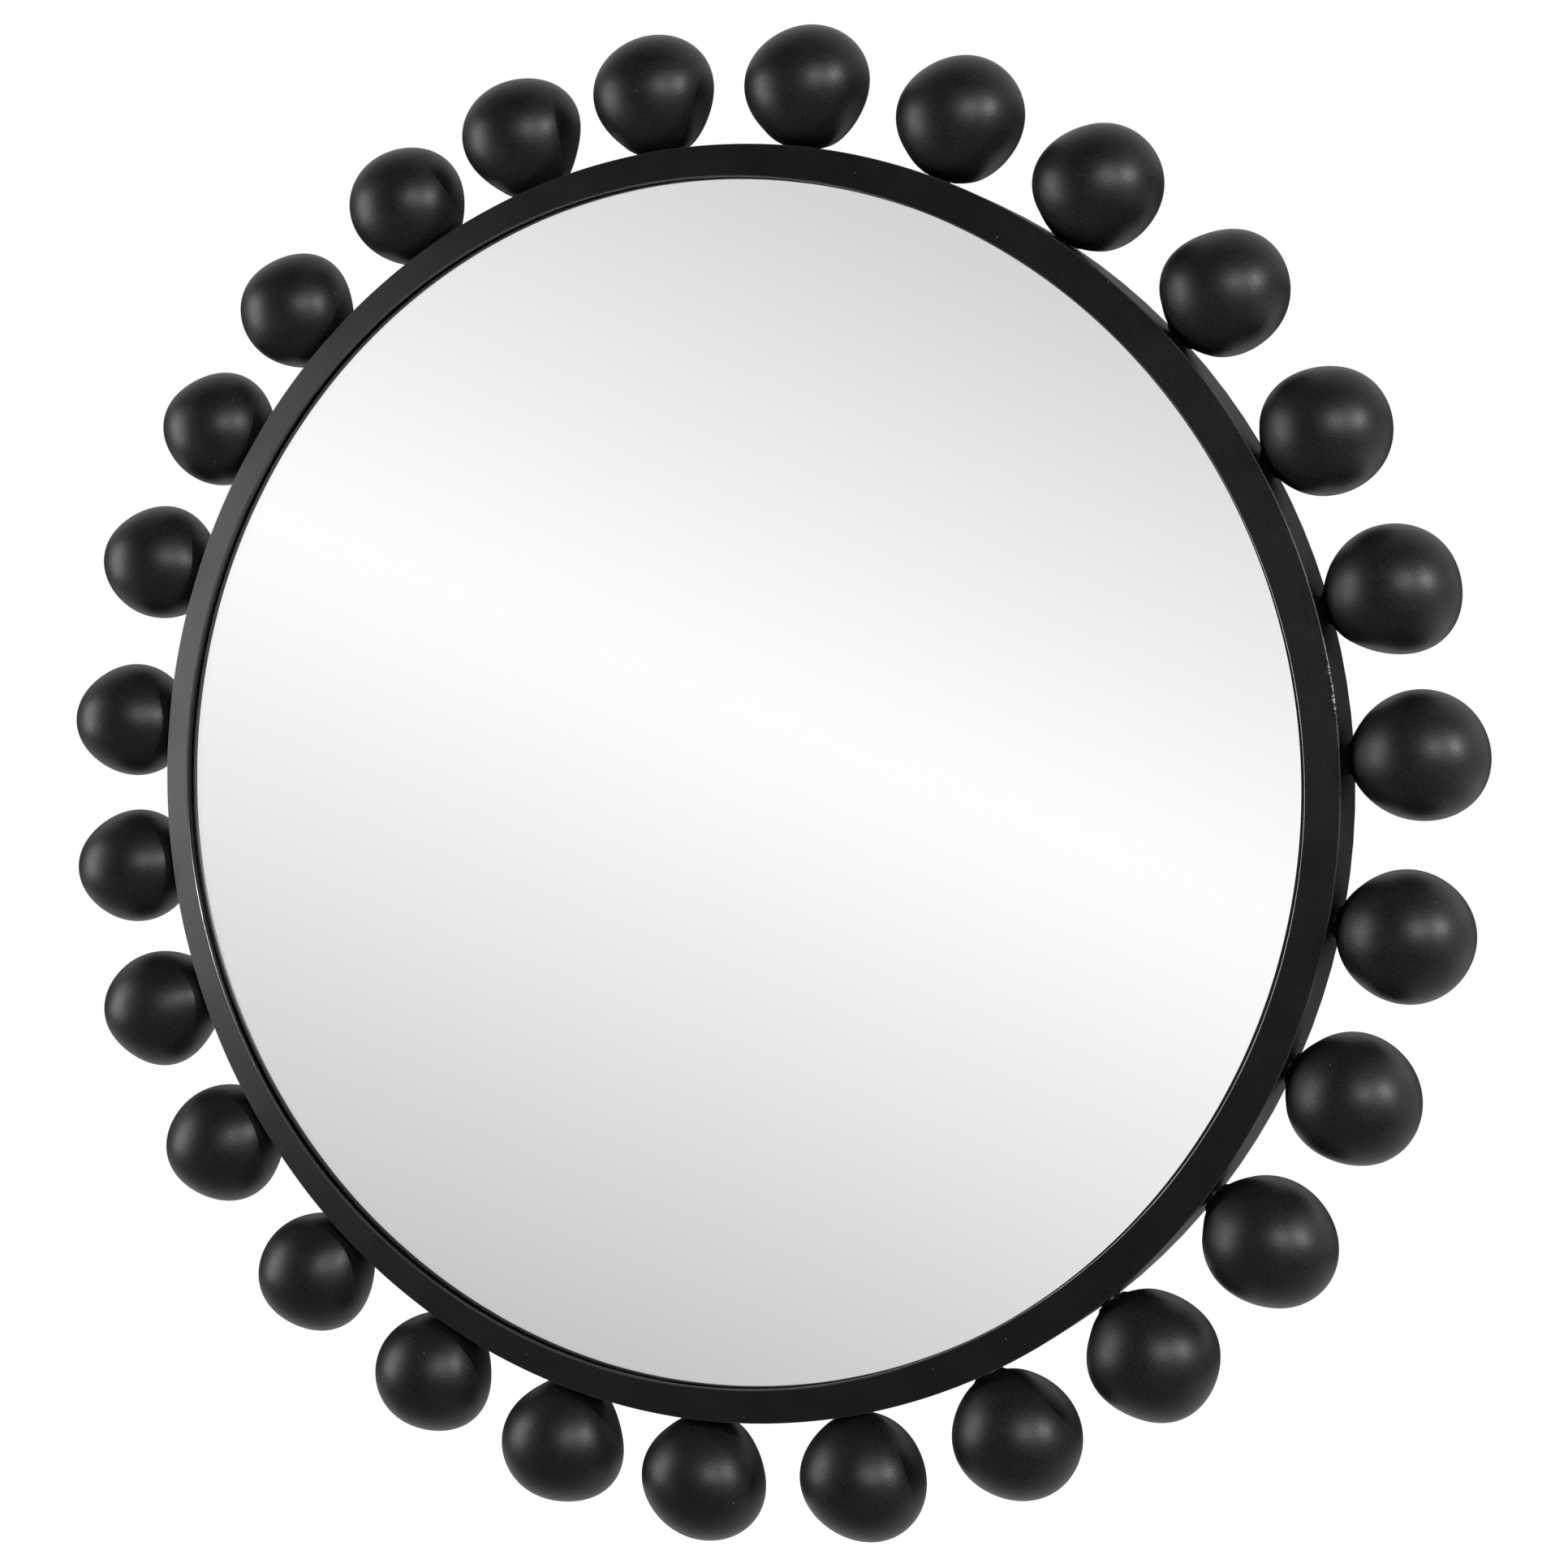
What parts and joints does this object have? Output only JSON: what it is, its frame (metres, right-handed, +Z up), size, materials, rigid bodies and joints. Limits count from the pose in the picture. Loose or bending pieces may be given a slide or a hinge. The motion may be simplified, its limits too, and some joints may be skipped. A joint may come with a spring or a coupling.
{
  "type": "round wall mirror",
  "caption": "Round wall mirror in a flat black iron ring, edged with a row of hollow iron balls, with a boarded back and swinging hanging rings.",
  "frame": {"origin": "centre of the flat rear edge of the iron band, on the axis of the ring; the face's front is 42 mm before it and the wall, which the largest balls touch, is 22 mm behind it", "axes": "+X to the right and +Z up, as seen from the room; +Y along the ring's axis, into the wall"},
  "size_m": [0.9965, 0.0824, 0.9924],
  "materials": {
    "black_iron": "satin black coat on iron, lightly speckled",
    "black_balls": "satin black coat on hollow iron balls",
    "mirror": "silvered float glass",
    "black_rubber": "matt black rubber",
    "white_foam": "fine closed-cell foam",
    "plywood": "bare birch plywood",
    "zinc_steel": "bright zinc plate"
  },
  "bodies": {
    "mirror": {"face_ring": "black_iron", "outer_band": "black_iron", "corner_welds": "black_iron", "retaining_tabs": "black_iron", "ball_collars": "black_iron", "glazing_gasket": "black_rubber", "mirror_glass": "mirror", "foam_sheet": "white_foam", "backing_board": "plywood", "edge_blocks": "black_rubber", "tab_screws": "zinc_steel", "ball_bushes": "zinc_steel", "ball_washers": "zinc_steel", "ball_screws": "zinc_steel", "hanger_strap_left": "zinc_steel", "hanger_strap_right": "zinc_steel", "hanger_screws": "zinc_steel", "ball_01": "black_balls", "ball_02": "black_balls", "ball_03": "black_balls", "ball_04": "black_balls", "ball_05": "black_balls", "ball_06": "black_balls", "ball_07": "black_balls", "ball_08": "black_balls", "ball_09": "black_balls", "ball_10": "black_balls", "ball_11": "black_balls", "ball_12": "black_balls", "ball_13": "black_balls", "ball_14": "black_balls", "ball_15": "black_balls", "ball_16": "black_balls", "ball_17": "black_balls", "ball_18": "black_balls", "ball_19": "black_balls", "ball_20": "black_balls", "ball_21": "black_balls", "ball_22": "black_balls", "ball_23": "black_balls", "ball_24": "black_balls", "ball_25": "black_balls", "ball_26": "black_balls", "ball_27": "black_balls"},
    "ring_left": {"hanger_ring_left": "zinc_steel"},
    "ring_right": {"hanger_ring_right": "zinc_steel"}
  },
  "joints": [
    {"name": "ring_left_swing", "type": "hinge", "parent": "mirror", "child": "ring_left", "pos_m": [-0.23, -0.02115, 0.2], "axis": [1, 0, 0], "range_deg": [0, 170]},
    {"name": "ring_right_swing", "type": "hinge", "parent": "mirror", "child": "ring_right", "pos_m": [0.23, -0.02115, 0.2], "axis": [1, 0, 0], "range_deg": [0, 170]}
  ]
}
